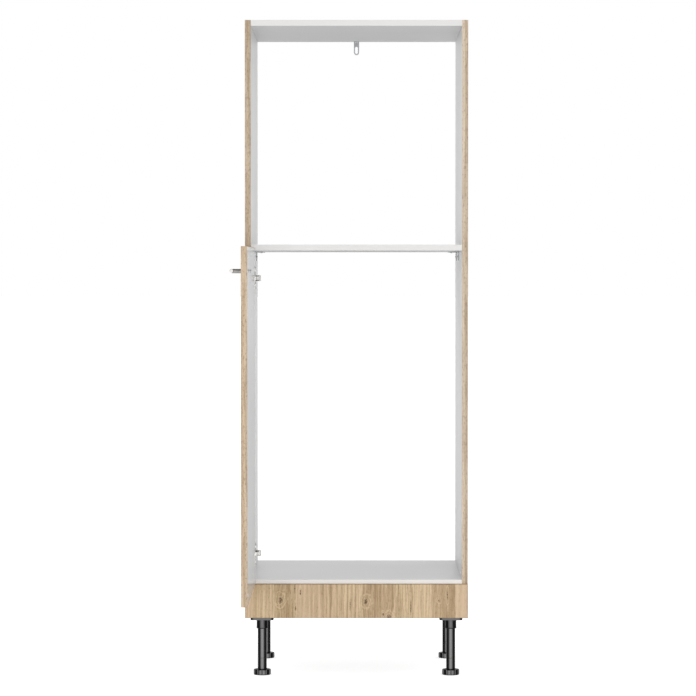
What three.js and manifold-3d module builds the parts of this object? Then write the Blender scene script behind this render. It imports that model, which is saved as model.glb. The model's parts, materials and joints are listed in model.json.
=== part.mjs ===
// Tall kitchen housing for a built-in oven above a built-in fridge: an open carcass of two sides and three
// boards, one hinged door that stands open at a right angle, a fixed base panel and four adjustable legs.
// Millimetres. X runs to the right, Y from the front edges of the carcass to the back, Z up from the floor.

import * as THREE from "three";
import { mergeVertices } from "three/addons/utils/BufferGeometryUtils.js";
import Module from "manifold-3d";

const wasm = await Module();
wasm.setup();

// Clearances and fineness of curves
const runningGap = 0.3;
const overrun = 1;
const roundSides = 24;
const smallSides = 12;
const arcSteps = 3;

// Driving dimensions of the carcass
const unitWidth = 600;
const carcassDepth = 560;
const boardThickness = 16;
const legHeight = 162;
const plinthRise = 86;
const fridgeNicheHeight = 887;
const ovenNicheHeight = 587;
const railWidth = 100;

// Door and base panel
const frontThickness = 16;
const frontGap = 2;
const doorReveal = 2;
const lapOnShelf = 6;
const lapOnFloor = 8.5;
const panelGap = 2;
const openIntrusion = 12;
const openStandOff = 12;

// Hinge cup, set into the door's inner face
const hingeInset = 80;
const cupRadius = 17.5;
const cupWall = 0.8;
const cupDepth = 12.5;
const cupEdgeDistance = 21;
const cupFlangeThickness = 1.2;
const cupFlangeRadius = 18.6;
const cupEarPitch = 52;
const cupEarRadius = 6;
const cupScrewBoreRadius = 2.2;
const cupPinInset = 8;
const cupPinDepth = 6;
const cupPinLength = 19;
const cheekSpacing = 12.4;
const cheekMargin = 3.4;

// Hinge pins and link
const hingePinRadius = 1.5;
const pinHeadRadius = 2.5;
const pinHeadThickness = 0.8;
const armPinReach = 28;
const linkWidth = 9;
const linkEyeWidth = 11;
const linkThickness = 2;
const linkEyeRadius = 2.6;
const linkArmLead = 12;
const linkArmRise = 2;
const linkCupLag = 2.2;
const linkCupRise = 15;

// Hinge arm, a pressed channel that opens towards the side panel
const armWidth = 15;
const armWall = 1.4;
const armRearEnd = 68;
const armNoseRadius = 4.6;
const armShoulder = 8;
const armHeel = 22;
const armThroat = 17;
const armScrewSetback = 50;
const armScrewHeadRadius = 3.8;
const armScrewHeadHeight = 2.2;
const armScrewRadius = 2.2;
const armScrewLength = 8;

// Hinge mounting plate, on the side panel's inner face
const plateThickness = 2;
const plateSpineStart = 22;
const plateSpineLength = 45;
const plateSpineWidth = 16;
const plateBlockStart = 26;
const plateBlockLength = 37;
const plateBlockWidth = 11;
const plateBlockHeight = 10;
const plateWingSetback = 37;
const plateWingSpan = 50;
const plateWingWidth = 15;
const plateScrewPitch = 32;
const plateScrewBoreRadius = 2.7;

// Bar handle
const handlePitch = 128;
const handleOverhang = 12;
const handleBarRadius = 5;
const handleProjection = 32;
const handlePostRadius = 5.6;
const handleSaddleDepth = 2.6;
const handleBelowTop = 62;
const handleFromFreeEdge = 96;
const handleBarRounding = 1;
const handleScrewHeadRadius = 4.4;
const handleScrewHeadHeight = 2.6;
const handleScrewRadius = 2;
const handleScrewEngagement = 12;
const screwCrownShare = 0.7;

// Door buffers
const bufferRadius = 4.5;
const bufferFromEdge = 8;
const bufferFromEnd = 30;

// Base corner blocks
const baseBlockSize = 20;
const baseBlockHeight = 42;
const baseBlockRise = 10;
const baseBlockBoreRadius = 2.3;

// Leg sockets
const legRowFront = 60;
const legRowSpacing = 364;
const legFromSide = 44;
const flangeSize = 62;
const flangeCorner = 9;
const flangePlate = 3;
const flangeSkirt = 8;
const flangeWall = 2.2;
const flangeRibs = 8;
const flangeRibThickness = 1.8;
const flangeScrewInset = 9;
const flangeScrewBoreRadius = 2.4;
const collarRadius = 15.2;
const collarHeight = 36;
const collarLipRadius = 16;
const collarLipHeight = 4;
const collarTaper = 2;

// Leg tubes and their adjustable feet
const tubeRadius = 12.2;
const tubeEnd = 46;
const tubeBoreDepth = 64;
const footRadius = 23.5;
const footHeight = 15;
const footEdge = 2.4;
const footFlutes = 12;
const footFluteRadius = 1.6;
const footNeckFillet = 2;
const seamGap = 0.4;
const stemRadius = 8;
const stemLength = 48;

// Shelf brackets
const shelfBracketLeg = 25;
const shelfBracketWidth = 16;
const shelfBracketThickness = 2;
const shelfBracketBend = 3;
const shelfBracketBoreRadius = 2.3;
const shelfBracketBoreShare = 0.6;
const shelfBracketFront = 262;
const shelfBracketRear = 442;

// Wall bracket
const wallBracketWidth = 15;
const wallBracketThickness = 2;
const wallBracketBend = 3.5;
const wallBracketReach = 40;
const wallBracketDrop = 38;
const wallSlotWidth = 8;
const wallSlotLength = 20;
const wallSlotFromTip = 4;
const wallBracketBoreRadius = 2;
const wallBracketBorePitch = 16;
const wallBracketBoreStart = 10;

// Levels and planes that follow from the driving dimensions
const sideInner = unitWidth / 2 - boardThickness;
const floorBottom = legHeight + plinthRise;
const floorTop = floorBottom + boardThickness;
const shelfBottom = floorTop + fridgeNicheHeight;
const shelfTop = shelfBottom + boardThickness;
const topBottom = shelfTop + ovenNicheHeight;
const unitHeight = topBottom + boardThickness;
const doorBottom = floorTop - lapOnFloor;
const doorTop = shelfBottom + lapOnShelf;
const doorWidth = unitWidth - 2 * doorReveal;
const panelTop = doorBottom - panelGap;
const hingeLevels = { upper: doorTop - hingeInset, lower: doorBottom + hingeInset };

// Where the open door stands, and the hinge pins that carry it from there to closed
const closedEdge = -doorWidth / 2;
const openFace = openIntrusion - sideInner;
const openEdge = -openStandOff;
const poleX = (closedEdge + openFace + frontGap + openEdge) / 2;
const poleY = (closedEdge - openFace - frontGap + openEdge) / 2;
const armPin = new THREE.Vector2(poleX + armPinReach, poleY + armPinReach);
const cupPin = new THREE.Vector2(openFace - cupPinDepth, openEdge - cupPinInset);
const linkLength = armPin.distanceTo(cupPin);
const linkAngle = cupPin.clone().sub(armPin).angle();

// Turns
const quarterTurn = Math.PI / 2;
const halfTurn = Math.PI;
const fullTurn = 2 * Math.PI;

// Surface colours
const finish = (color, roughness, metalness) => new THREE.MeshStandardMaterial({ color, roughness, metalness });
const oak = () => finish(0xbfa98a, 0.55, 0);
const melamine = () => finish(0xe6e6e4, 0.35, 0);
const blackPlastic = () => finish(0x1c1c1d, 0.4, 0);
const greyPlastic = () => finish(0xd0d0ce, 0.5, 0);
const nickel = () => finish(0xb9babb, 0.3, 1);
const steel = () => finish(0xc4c6c8, 0.28, 1);
const rubber = () => finish(0xd8d8d6, 0.7, 0);

// Closed shapes are joined and cut as solids, once corners that coincide are merged
function toSolid(geometry) {
  const bare = geometry.clone();
  bare.deleteAttribute("normal");
  bare.deleteAttribute("uv");
  const merged = mergeVertices(bare);
  const corners = merged.index.array;
  const triangles = [];
  for (let start = 0; start < corners.length; start += 3) {
    const [a, b, c] = corners.slice(start, start + 3);
    if (a !== b && b !== c && c !== a) {
      triangles.push(a, b, c);
    }
  }
  const vertProperties = new Float32Array(merged.attributes.position.array);
  return new wasm.Manifold(new wasm.Mesh({ numProp: 3, vertProperties, triVerts: new Uint32Array(triangles) }));
}

function toGeometry(body) {
  const mesh = body.getMesh();
  const geometry = new THREE.BufferGeometry();
  geometry.setAttribute("position", new THREE.BufferAttribute(new Float32Array(mesh.vertProperties), 3));
  geometry.setIndex(new THREE.BufferAttribute(new Uint32Array(mesh.triVerts), 1));
  geometry.computeVertexNormals();
  return geometry;
}

const join = (...shapes) => toGeometry(shapes.map(toSolid).reduce((sum, next) => sum.add(next)));
const common = (...shapes) => toGeometry(shapes.map(toSolid).reduce((rest, next) => rest.intersect(next)));
const cut = (...shapes) => toGeometry(shapes.map(toSolid).reduce((rest, tool) => rest.subtract(tool)));

// A box given by its spans in X, Y and Z
function block(...spans) {
  const sizes = spans.map(([low, high]) => high - low);
  const middles = spans.map(([low, high]) => (low + high) / 2);
  return new THREE.BoxGeometry(...sizes).translate(...middles);
}

const around = (middle, size) => [middle - size / 2, middle + size / 2];

// A flat outline in X and Y, raised from one level to another
function prism(outline, low, high, curveSegments = arcSteps) {
  const settings = { depth: high - low, bevelEnabled: false, curveSegments };
  return new THREE.ExtrudeGeometry(outline, settings).translate(0, 0, low);
}

// A body turned about Z, from a profile of radii and heights that starts and ends on the axis
function turned(profile, sides = smallSides) {
  const points = profile.map(([radius, height]) => new THREE.Vector2(radius, height));
  return new THREE.LatheGeometry(points, sides).rotateX(quarterTurn);
}

function rod(radius, low, high, sides = smallSides) {
  return turned([[0, low], [radius, low], [radius, high], [0, high]], sides);
}

// A rod along Y
function crossRod(radius, front, back, sides = smallSides) {
  return rod(radius, -back, -front, sides).rotateX(quarterTurn);
}

// Part of a circle in a turned profile, from one angle to another
function profileArc(radius, height, curve, from, to) {
  return Array.from({ length: arcSteps + 1 }, (_, step) => {
    const angle = from + ((to - from) * step) / arcSteps;
    return [radius + curve * Math.cos(angle), height + curve * Math.sin(angle)];
  });
}

function roundedRectangle(width, height, corner) {
  const outline = new THREE.Shape();
  const x = width / 2 - corner;
  const y = height / 2 - corner;
  outline.absarc(x, y, corner, 0, quarterTurn);
  outline.absarc(-x, y, corner, quarterTurn, halfTurn);
  outline.absarc(-x, -y, corner, halfTurn, halfTurn + quarterTurn);
  outline.absarc(x, -y, corner, halfTurn + quarterTurn, fullTurn);
  return outline;
}

// A strip of even thickness along a curve
function ribbon(curve, thickness, steps) {
  const near = [];
  const far = [];
  for (let step = 0; step <= steps; step += 1) {
    const point = curve.getPoint(step / steps);
    const across = curve.getTangent(step / steps).rotateAround(new THREE.Vector2(), quarterTurn);
    near.push(point.clone().addScaledVector(across, thickness / 2));
    far.unshift(point.clone().addScaledVector(across, -thickness / 2));
  }
  return new THREE.Shape([...near, ...far]);
}

// A pan-head screw that points up from its seat at the origin
function screw(headRadius, headHeight, shankRadius, length) {
  return turned([
    [0, -headHeight],
    [headRadius * screwCrownShare, -headHeight],
    [headRadius, -headHeight / 2],
    [headRadius, 0],
    [shankRadius, 0],
    [shankRadius, length],
    [0, length],
  ]);
}

// Sheet metal bent once at the origin: one leg runs back along X, the other hangs down
function bentSheet(reach, drop, width, thickness, bend) {
  const outline = new THREE.Shape();
  outline.moveTo(0, -drop);
  outline.lineTo(0, -bend);
  outline.absarc(-bend, -bend, bend, 0, quarterTurn);
  outline.lineTo(-reach, 0);
  outline.lineTo(-reach, -thickness);
  outline.absarc(-bend, -bend, bend - thickness, quarterTurn, 0, true);
  outline.lineTo(-thickness, -drop);
  return prism(outline, -width / 2, width / 2).rotateX(quarterTurn);
}

const cabinet = new THREE.Group();
const carcass = new THREE.Group();
const door = new THREE.Group();
const links = new THREE.Group();
const feet = new THREE.Group();
cabinet.add(carcass, door, links, feet);

function place(parent, name, geometry, material, position = [0, 0, 0]) {
  const piece = new THREE.Mesh(geometry, material);
  piece.name = name;
  piece.position.set(...position);
  parent.add(piece);
  return piece;
}

// The two sides, the boards between them, the rails that carry the legs, and the base panel
function buildBoards() {
  const between = [-sideInner, sideInner];
  const depth = [0, carcassDepth];
  const boards = {
    side_panel_left: [[-unitWidth / 2, -sideInner], depth, [legHeight, unitHeight], oak()],
    side_panel_right: [[sideInner, unitWidth / 2], depth, [legHeight, unitHeight], oak()],
    top_board: [between, depth, [topBottom, unitHeight], melamine()],
    oven_shelf: [between, depth, [shelfBottom, shelfTop], melamine()],
    fridge_floor: [between, depth, [floorBottom, floorTop], melamine()],
    base_panel: [[-unitWidth / 2, unitWidth / 2], [-frontThickness, 0], [legHeight, panelTop], oak()],
  };
  for (const [name, [x, y, z, material]] of Object.entries(boards)) {
    place(carcass, name, block(x, y, z), material);
  }
  const rows = { front: legRowFront, rear: legRowFront + legRowSpacing };
  for (const [name, row] of Object.entries(rows)) {
    const rail = block(between, around(row, railWidth), [legHeight, legHeight + boardThickness]);
    place(carcass, `leg_rail_${name}`, rail, melamine());
  }
}

// A plastic block in each corner of the base, with a bore for its screw
function buildBaseBlocks() {
  const half = baseBlockSize / 2;
  const low = legHeight + boardThickness + baseBlockRise;
  const body = block([-half, half], [0, baseBlockSize], [low, low + baseBlockHeight]);
  const bore = crossRod(baseBlockBoreRadius, -overrun, baseBlockSize + overrun);
  const bored = cut(body, bore.translate(0, 0, low + baseBlockHeight / 2));
  place(carcass, "base_block_left", bored, greyPlastic(), [half - sideInner, 0, 0]);
  place(carcass, "base_block_right", bored.clone(), greyPlastic(), [sideInner - half, 0, 0]);
}

// Four small angles between the oven shelf and the sides
function buildShelfBrackets() {
  const leg = shelfBracketLeg;
  const boreReach = leg * shelfBracketBoreShare;
  const sheet = bentSheet(leg, leg, shelfBracketWidth, shelfBracketThickness, shelfBracketBend);
  const bore = rod(shelfBracketBoreRadius, -shelfBracketThickness - overrun, overrun);
  const sideBore = bore.clone().rotateY(quarterTurn).translate(0, 0, -boreReach);
  const angle = cut(sheet, bore.translate(-boreReach, 0, 0), sideBore);
  const setbacks = { front: shelfBracketFront, rear: shelfBracketRear };
  for (const [row, setback] of Object.entries(setbacks)) {
    const left = [-sideInner, setback, shelfBottom];
    const right = [sideInner, setback, shelfBottom];
    place(carcass, `shelf_bracket_left_${row}`, angle.clone(), steel(), left).rotation.z = halfTurn;
    place(carcass, `shelf_bracket_right_${row}`, angle.clone(), steel(), right);
  }
}

// The angle that ties the top to the wall: two bores in its upper leg, a slot in its rounded hanging leg
function buildWallBracket() {
  const half = wallBracketWidth / 2;
  const under = -wallBracketThickness - overrun;
  const standing = (geometry) => geometry.rotateY(quarterTurn).rotateX(quarterTurn);
  const sheet = bentSheet(
    wallBracketReach,
    wallBracketDrop,
    wallBracketWidth,
    wallBracketThickness,
    wallBracketBend,
  );
  const front = new THREE.Shape();
  front.moveTo(half, overrun);
  front.lineTo(-half, overrun);
  front.absarc(0, half - wallBracketDrop, half, halfTurn, fullTurn);
  const rounded = common(sheet, standing(prism(front, -wallBracketReach - overrun, overrun)));
  const firstBore = wallBracketBoreStart - wallBracketReach;
  const bores = [firstBore, firstBore + wallBracketBorePitch].map((x) =>
    rod(wallBracketBoreRadius, under, overrun).translate(x, 0, 0),
  );
  const slotOutline = roundedRectangle(wallSlotWidth, wallSlotLength, wallSlotWidth / 2);
  const slotMiddle = wallSlotFromTip + wallSlotLength / 2 - wallBracketDrop;
  const slot = standing(prism(slotOutline, under, overrun)).translate(0, 0, slotMiddle);
  const bracket = cut(rounded, slot, ...bores);
  place(carcass, "wall_bracket", bracket, steel(), [0, carcassDepth, topBottom]).rotation.z = quarterTurn;
}

// Hinge mounting plate: a spine, a cross of wings with two screw bores, and a raised block for the arm
function mountingPlate() {
  const spineOutline = roundedRectangle(plateSpineLength, plateSpineWidth, plateSpineWidth / 2);
  const spine = prism(spineOutline, 0, plateThickness).translate(plateSpineStart + plateSpineLength / 2, 0, 0);
  const wingOutline = roundedRectangle(plateWingWidth, plateWingSpan, plateWingWidth / 2);
  const wings = prism(wingOutline, 0, plateThickness).translate(plateWingSetback, 0, 0);
  const blockEnds = [plateBlockStart, plateBlockStart + plateBlockLength];
  const raised = block(blockEnds, around(0, plateBlockWidth), [0, plateBlockHeight]);
  const bores = around(0, plateScrewPitch).map((y) =>
    rod(plateScrewBoreRadius, -overrun, plateThickness + overrun).translate(plateWingSetback, y, 0),
  );
  const tapped = rod(armScrewRadius + runningGap, plateThickness, plateBlockHeight + overrun);
  return cut(join(spine, wings, raised), ...bores, tapped.translate(armScrewSetback, 0, 0));
}

// Hinge arm: a channel whose cranked web rises from the mounting plate to the pin in its round nose
function hingeArm() {
  const pinRise = armPin.x + sideInner;
  const pin = new THREE.Vector2(armPin.y, pinRise);
  const foot = plateThickness + runningGap;
  const webTop = plateBlockHeight + armWall;
  const noseTop = pinRise + armNoseRadius;
  const throat = new THREE.Vector2(pin.x + armThroat, foot);
  const toThroat = throat.clone().sub(pin);
  const noseStart = toThroat.angle() - Math.acos(armNoseRadius / toThroat.length());
  const profile = new THREE.Shape();
  profile.moveTo(armRearEnd, foot);
  profile.lineTo(throat.x, throat.y);
  profile.absarc(pin.x, pin.y, armNoseRadius, noseStart, quarterTurn, true);
  profile.lineTo(pin.x + armShoulder, noseTop);
  profile.lineTo(pin.x + armHeel, webTop);
  profile.lineTo(armRearEnd, webTop);
  const channel = new THREE.Shape();
  channel.moveTo(armRearEnd + overrun, -overrun);
  channel.lineTo(-armNoseRadius, -overrun);
  channel.lineTo(-armNoseRadius, noseTop + overrun);
  channel.lineTo(pin.x, noseTop + overrun);
  channel.lineTo(pin.x, noseTop - armWall);
  channel.lineTo(pin.x + armShoulder - armWall / 2, noseTop - armWall);
  channel.lineTo(pin.x + armHeel - armWall / 2, webTop - armWall);
  channel.lineTo(armRearEnd + overrun, webTop - armWall);
  const inner = armWidth / 2 - armWall;
  const bulk = prism(profile, -armWidth / 2, armWidth / 2).rotateX(quarterTurn);
  const hollow = prism(channel, -inner, inner).rotateX(quarterTurn);
  const pinBore = crossRod(hingePinRadius + runningGap, -armWidth, armWidth).translate(pin.x, 0, pin.y);
  const screwBore = rod(armScrewRadius + runningGap, 0, webTop + overrun).translate(armScrewSetback, 0, 0);
  return cut(bulk, hollow, pinBore, screwBore);
}

// A pin with a riveted head at each end of its span
function headedPin(radius, span) {
  const half = span / 2;
  const end = half + pinHeadThickness;
  return turned([
    [0, -end],
    [pinHeadRadius, -end],
    [pinHeadRadius, -half],
    [radius, -half],
    [radius, half],
    [pinHeadRadius, half],
    [pinHeadRadius, end],
    [0, end],
  ]);
}

// The link between the two pins: a curved strip with a rolled eye at each end, along X from the arm pin
function hingeLink() {
  const curve = new THREE.CubicBezierCurve(
    new THREE.Vector2(),
    new THREE.Vector2(linkArmLead, linkArmRise),
    new THREE.Vector2(linkLength - linkCupLag, linkCupRise),
    new THREE.Vector2(linkLength, 0),
  );
  const strip = prism(ribbon(curve, linkThickness, smallSides), -linkWidth / 2, linkWidth / 2);
  const armEye = rod(linkEyeRadius, -linkEyeWidth / 2, linkEyeWidth / 2);
  const cupEye = rod(linkEyeRadius, -linkWidth / 2, linkWidth / 2).translate(linkLength, 0, 0);
  const bore = rod(hingePinRadius + runningGap, -linkEyeWidth, linkEyeWidth);
  return cut(join(strip, armEye, cupEye), bore, bore.clone().translate(linkLength, 0, 0));
}

// The flange of a hinge cup: a disc on the door's inner face, with an ear for each screw
function cupFlange() {
  const outline = new THREE.Shape();
  const earEdge = Math.acos(cupEarRadius / cupFlangeRadius);
  outline.absarc(0, cupEarPitch / 2, cupEarRadius, 0, halfTurn);
  outline.absarc(0, 0, cupFlangeRadius, halfTurn - earEdge, halfTurn + earEdge);
  outline.absarc(0, -cupEarPitch / 2, cupEarRadius, halfTurn, fullTurn);
  outline.absarc(0, 0, cupFlangeRadius, fullTurn - earEdge, fullTurn + earEdge);
  return prism(outline, -cupFlangeThickness, 0, 2 * arcSteps).rotateX(quarterTurn);
}

// Hinge cup: a shell that opens along Y, with two cheeks for its pin, under its flange
function hingeCup() {
  const rim = cupFlangeThickness + overrun;
  const shell = crossRod(cupRadius, -cupDepth, cupFlangeThickness / 2, roundSides);
  const hollow = crossRod(cupRadius - cupWall, cupWall - cupDepth, rim, roundSides);
  const pinOffset = cupPinInset - cupEdgeDistance;
  const cheekSpan = around(pinOffset, 2 * cheekMargin);
  const cheekPair = cut(
    block(cheekSpan, [cupWall / 2 - cupDepth, cheekMargin - cupPinDepth], around(0, 2 * cupRadius)),
    block(around(pinOffset, 2 * cupRadius), [-cupRadius, rim], around(0, cheekSpacing)),
  );
  const cheeks = common(cheekPair, crossRod(cupRadius - cupWall / 2, -cupDepth, 0, roundSides));
  const pinBore = rod(hingePinRadius + runningGap, ...around(0, cupPinLength + 2 * runningGap));
  const screwBores = around(0, cupEarPitch).map((z) =>
    crossRod(cupScrewBoreRadius, -overrun, rim).translate(0, 0, z),
  );
  const body = join(cut(join(shell, cupFlange()), hollow), cheeks);
  return cut(body, pinBore.translate(pinOffset, -cupPinDepth, 0), ...screwBores);
}

function buildHinges() {
  for (const [name, level] of Object.entries(hingeLevels)) {
    const onSide = [-sideInner, 0, level];
    const fixing = screw(armScrewHeadRadius, armScrewHeadHeight, armScrewRadius, armScrewLength);
    const fixingSeat = fixing.rotateX(halfTurn).translate(armScrewSetback, 0, plateBlockHeight + armWall);
    const fixedPieces = [
      place(carcass, `hinge_plate_${name}`, mountingPlate(), nickel(), onSide),
      place(carcass, `hinge_arm_${name}`, hingeArm(), nickel(), onSide),
      place(carcass, `hinge_arm_screw_${name}`, fixingSeat, nickel(), onSide),
    ];
    for (const piece of fixedPieces) {
      piece.rotation.set(quarterTurn, quarterTurn, 0);
    }
    const pinSeat = [armPin.x, armPin.y, level];
    place(carcass, `hinge_arm_pin_${name}`, headedPin(hingePinRadius, armWidth), steel(), pinSeat);
    place(links, `hinge_link_${name}`, hingeLink(), nickel(), pinSeat).rotation.z = linkAngle;
    place(door, `hinge_cup_${name}`, hingeCup(), nickel(), [cupEdgeDistance, 0, level]);
    const cupPinBody = rod(hingePinRadius, ...around(0, cupPinLength));
    place(door, `hinge_cup_pin_${name}`, cupPinBody, steel(), [cupPinInset, -cupPinDepth, level]);
  }
}

// The door is drawn closed, with its inner face at Y = 0 and its hinge edge at X = 0
const handleLevel = doorTop - handleBelowTop;
const handleOuter = doorWidth - handleFromFreeEdge;
const handlePosts = { outer: handleOuter, inner: handleOuter - handlePitch };

function buildDoorPanel() {
  const panel = block([0, doorWidth], [-frontThickness, 0], [doorBottom, doorTop]);
  const cupBores = Object.values(hingeLevels).map((level) =>
    crossRod(cupRadius + runningGap, -cupDepth - runningGap, overrun, roundSides).translate(cupEdgeDistance, 0, level),
  );
  const handleBores = Object.values(handlePosts).map((along) =>
    crossRod(handleScrewRadius + runningGap, -frontThickness - overrun, overrun).translate(along, 0, handleLevel),
  );
  place(door, "door_panel", cut(panel, ...cupBores, ...handleBores), oak());
}

function buildHandle() {
  const barAxis = handleBarRadius - handleProjection;
  const postTop = barAxis + handleBarRadius - handleSaddleDepth;
  const half = handlePitch / 2 + handleOverhang;
  const endRadius = handleBarRadius - handleBarRounding;
  const bar = turned([
    [0, -half],
    ...profileArc(endRadius, handleBarRounding - half, handleBarRounding, -quarterTurn, 0),
    ...profileArc(endRadius, half - handleBarRounding, handleBarRounding, 0, quarterTurn),
    [0, half],
  ]);
  const barSeat = [handleOuter - handlePitch / 2, barAxis - frontThickness, handleLevel];
  place(door, "handle_bar", bar.rotateY(quarterTurn), steel(), barSeat);
  const boreRadius = handleScrewRadius + runningGap;
  for (const [name, along] of Object.entries(handlePosts)) {
    const stem = crossRod(handlePostRadius, postTop, 0);
    const saddle = rod(handleBarRadius + runningGap, ...around(0, 2 * handlePostRadius + overrun));
    const tapped = crossRod(boreRadius, -handleScrewEngagement - runningGap, overrun);
    const post = cut(stem, saddle.rotateY(quarterTurn).translate(0, barAxis, 0), tapped);
    place(door, `handle_post_${name}`, post, steel(), [along, -frontThickness, handleLevel]);
    const length = frontThickness + handleScrewEngagement;
    const fixing = screw(handleScrewHeadRadius, handleScrewHeadHeight, handleScrewRadius, length);
    place(door, `handle_screw_${name}`, fixing.rotateX(quarterTurn), steel(), [along, 0, handleLevel]);
  }
}

// Two buffers keep the closed door just off the edge of the side panel
function buildBuffers() {
  const levels = { upper: doorTop - bufferFromEnd, lower: doorBottom + bufferFromEnd };
  const thickness = frontGap - runningGap;
  for (const [name, level] of Object.entries(levels)) {
    const disc = crossRod(bufferRadius, 0, thickness);
    place(door, `door_buffer_${name}`, disc, rubber(), [doorWidth - bufferFromEdge, 0, level]);
  }
}

// Leg socket: a square flange with a skirt, ribs beneath it, and a collar that holds the tube
function legSocket() {
  const underPlate = -flangePlate;
  const skirtEnd = underPlate - flangeSkirt;
  const innerSize = flangeSize - 2 * flangeWall;
  const outline = prism(roundedRectangle(flangeSize, flangeSize, flangeCorner), skirtEnd, 0);
  const inside = roundedRectangle(innerSize, innerSize, flangeCorner - flangeWall);
  const cap = cut(outline, prism(inside, skirtEnd - overrun, underPlate));
  const ribSpan = around(0, flangeSize - flangeWall);
  const ribs = Array.from({ length: flangeRibs / 2 }, (_, index) => {
    const rib = block(ribSpan, around(0, flangeRibThickness), [skirtEnd, -flangePlate / 2]);
    return rib.rotateZ(((2 * index + 1) * halfTurn) / flangeRibs);
  });
  const collar = turned(
    [
      [0, -collarHeight],
      [collarLipRadius - collarTaper, -collarHeight],
      [collarLipRadius, collarTaper - collarHeight],
      [collarLipRadius, collarLipHeight - collarHeight],
      [collarRadius, collarLipHeight - collarHeight],
      [collarRadius, -flangePlate / 2],
      [0, -flangePlate / 2],
    ],
    roundSides,
  );
  const bore = rod(tubeRadius + runningGap, -collarHeight - overrun, underPlate, roundSides);
  const screwPlaces = around(0, flangeSize - 2 * flangeScrewInset);
  const screwBores = screwPlaces.flatMap((x) =>
    screwPlaces.map((y) => rod(flangeScrewBoreRadius, skirtEnd - overrun, overrun).translate(x, y, 0)),
  );
  return cut(join(cap, common(join(...ribs), outline), collar), bore, ...screwBores);
}

function legTube() {
  const body = rod(tubeRadius, tubeEnd, legHeight - flangePlate - runningGap, roundSides);
  return cut(body, rod(stemRadius + runningGap, tubeEnd - overrun, tubeEnd + tubeBoreDepth));
}

// Foot: a fluted disc, a neck as wide as the tube, and the stem that screws into the tube
function adjustableFoot() {
  const neckTop = tubeEnd - seamGap;
  const discEdge = footRadius - footEdge;
  const neckEdge = tubeRadius + footNeckFillet;
  const body = turned(
    [
      [0, 0],
      ...profileArc(discEdge, footEdge, footEdge, -quarterTurn, 0),
      ...profileArc(discEdge, footHeight - footEdge, footEdge, 0, quarterTurn),
      ...profileArc(neckEdge, footHeight + footNeckFillet, footNeckFillet, -quarterTurn, -halfTurn),
      [tubeRadius, neckTop],
      [0, neckTop],
    ],
    roundSides,
  );
  const flutes = Array.from({ length: footFlutes }, (_, index) =>
    rod(footFluteRadius, -overrun, footHeight + overrun, smallSides / 2)
      .translate(footRadius, 0, 0)
      .rotateZ((index * fullTurn) / footFlutes),
  );
  return join(cut(body, ...flutes), rod(stemRadius, footHeight, neckTop + stemLength));
}

function buildLegs() {
  const columns = { left: legFromSide - unitWidth / 2, right: unitWidth / 2 - legFromSide };
  const rows = { front: legRowFront, rear: legRowFront + legRowSpacing };
  for (const [row, y] of Object.entries(rows)) {
    for (const [column, x] of Object.entries(columns)) {
      place(carcass, `leg_socket_${row}_${column}`, legSocket(), blackPlastic(), [x, y, legHeight]);
      place(carcass, `leg_tube_${row}_${column}`, legTube(), blackPlastic(), [x, y, 0]);
      place(feet, `leg_foot_${row}_${column}`, adjustableFoot(), blackPlastic(), [x, y, 0]);
    }
  }
}

buildBoards();
buildBaseBlocks();
buildShelfBrackets();
buildWallBracket();
buildHinges();
buildDoorPanel();
buildHandle();
buildBuffers();
buildLegs();

// The door stands open at a right angle
door.rotation.z = -quarterTurn;
door.position.set(openFace, openEdge, 0);

// The origin is on the floor, under the middle of the whole unit as it stands
const extent = new THREE.Box3().setFromObject(cabinet);
cabinet.position.set(-(extent.min.x + extent.max.x) / 2, -(extent.min.y + extent.max.y) / 2, -extent.min.z);

export default cabinet;
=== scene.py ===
import json
from math import cos, pi, radians, sin, tau

import bmesh
import bpy
from mathutils import Matrix, Vector

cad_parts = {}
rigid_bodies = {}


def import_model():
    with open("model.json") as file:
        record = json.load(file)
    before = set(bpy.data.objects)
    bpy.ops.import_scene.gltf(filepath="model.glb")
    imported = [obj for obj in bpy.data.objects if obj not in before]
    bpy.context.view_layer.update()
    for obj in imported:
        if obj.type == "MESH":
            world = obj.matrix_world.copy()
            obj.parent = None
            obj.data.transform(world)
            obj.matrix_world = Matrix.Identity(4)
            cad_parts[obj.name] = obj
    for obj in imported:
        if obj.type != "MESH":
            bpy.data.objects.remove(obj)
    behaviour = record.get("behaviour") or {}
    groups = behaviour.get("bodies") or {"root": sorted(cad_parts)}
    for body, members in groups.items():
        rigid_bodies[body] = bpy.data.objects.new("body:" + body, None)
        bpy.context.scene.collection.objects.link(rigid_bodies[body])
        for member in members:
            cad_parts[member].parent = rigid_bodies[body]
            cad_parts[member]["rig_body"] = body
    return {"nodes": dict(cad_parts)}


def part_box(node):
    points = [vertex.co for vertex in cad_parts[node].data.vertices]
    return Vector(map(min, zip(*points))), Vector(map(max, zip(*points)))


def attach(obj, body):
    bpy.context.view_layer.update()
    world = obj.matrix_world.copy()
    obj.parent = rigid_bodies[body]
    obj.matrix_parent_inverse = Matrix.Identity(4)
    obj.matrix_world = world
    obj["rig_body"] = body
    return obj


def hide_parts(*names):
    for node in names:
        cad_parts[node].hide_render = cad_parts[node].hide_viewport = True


# %% [markdown]
# # A tall kitchen housing for a fridge and an oven
#
# The unit is a chipboard carcass on four adjustable legs. Its outside wears a foil printed as oak, its inside
# is plain white melamine, and one door stands open on the left on two concealed hinges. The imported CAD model
# gives every place and every moving body. This lesson gives each piece its real edges and its finish.

# %% Load the frame
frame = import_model()
scene = bpy.context.scene
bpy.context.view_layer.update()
mm = 0.001

# %% [markdown]
# ## Small helpers for node trees
#
# A material is a tree of nodes. Adding a node and wiring its inputs takes three or four lines each time, so
# one helper does both. An input that is given another node's socket is linked to it, and any other value is
# simply written into the input.


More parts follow.
